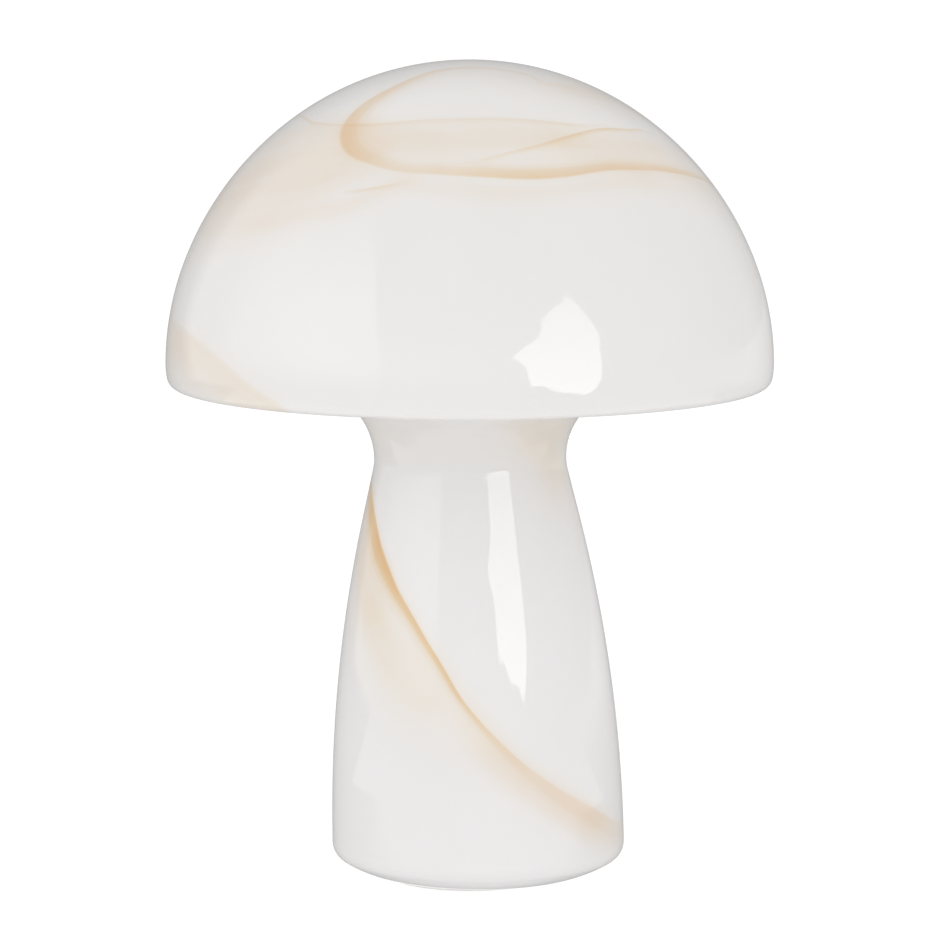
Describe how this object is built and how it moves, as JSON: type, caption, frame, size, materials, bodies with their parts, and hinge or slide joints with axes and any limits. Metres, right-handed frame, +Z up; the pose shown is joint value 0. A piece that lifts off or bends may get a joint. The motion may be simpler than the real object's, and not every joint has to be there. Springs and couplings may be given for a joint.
{
  "type": "table lamp",
  "caption": "Mushroom table lamp in swirled opal glass: a domed lift-off shade on a waisted glass stem that holds a small screw-in bulb.",
  "frame": {"origin": "centre of the foot ring's resting face, on the table", "axes": "+Z up, -Y towards the viewer, +Y towards the cord inlet at the back"},
  "size_m": [0.222, 0.222, 0.3011],
  "materials": {
    "opal_glass": "glossy white alabaster glass with amber swirls",
    "clear_silicone": "soft, translucent",
    "white_rubber": "soft, matt",
    "zinc_steel": "bright zinc plate",
    "spring_steel": "satin",
    "holder_plastic": "moulded, satin",
    "core_ceramic": "unglazed",
    "brass": "turned",
    "contact_bronze": "rolled strip",
    "nickel_sheet": "nickel plate",
    "solder": "dull",
    "black_glass": "glossy",
    "clear_glass": "clear, thin",
    "phosphor": "yellow phosphor coat",
    "board": "lacquered board"
  },
  "bodies": {
    "base": {"base_body": "opal_glass", "foot_ring": "clear_silicone", "lip_gasket": "clear_silicone", "plate_edge_seal": "clear_silicone", "cord_grommet": "white_rubber", "gallery_plate": "zinc_steel", "spring_clip_1": "spring_steel", "spring_clip_2": "spring_steel", "spring_clip_3": "spring_steel", "clip_screws": "zinc_steel", "clip_nuts": "zinc_steel", "holder_tube": "holder_plastic", "holder_ring_lower": "holder_plastic", "holder_ring_upper": "holder_plastic", "holder_cover": "holder_plastic", "holder_core": "core_ceramic", "terminal_screws": "brass", "centre_contact": "contact_bronze", "side_contact": "contact_bronze"},
    "shade": {"shade": "opal_glass"},
    "bulb": {"bulb_cap": "nickel_sheet", "bulb_tip": "solder", "bulb_insulator": "black_glass", "bulb_globe": "clear_glass", "filament_mount": "clear_glass", "led_filaments": "phosphor", "filament_wires": "nickel_sheet", "driver_board": "board"}
  },
  "joints": [
    {"name": "shade_lift", "type": "slide", "parent": "base", "child": "shade", "axis": [0, 0, 1], "range_m": [0, 0.12]},
    {"name": "bulb_turn", "type": "hinge", "parent": "base", "child": "bulb", "pos_m": [0, 0, 0.17], "axis": [0, 0, 1], "range_deg": [0, 900]}
  ]
}
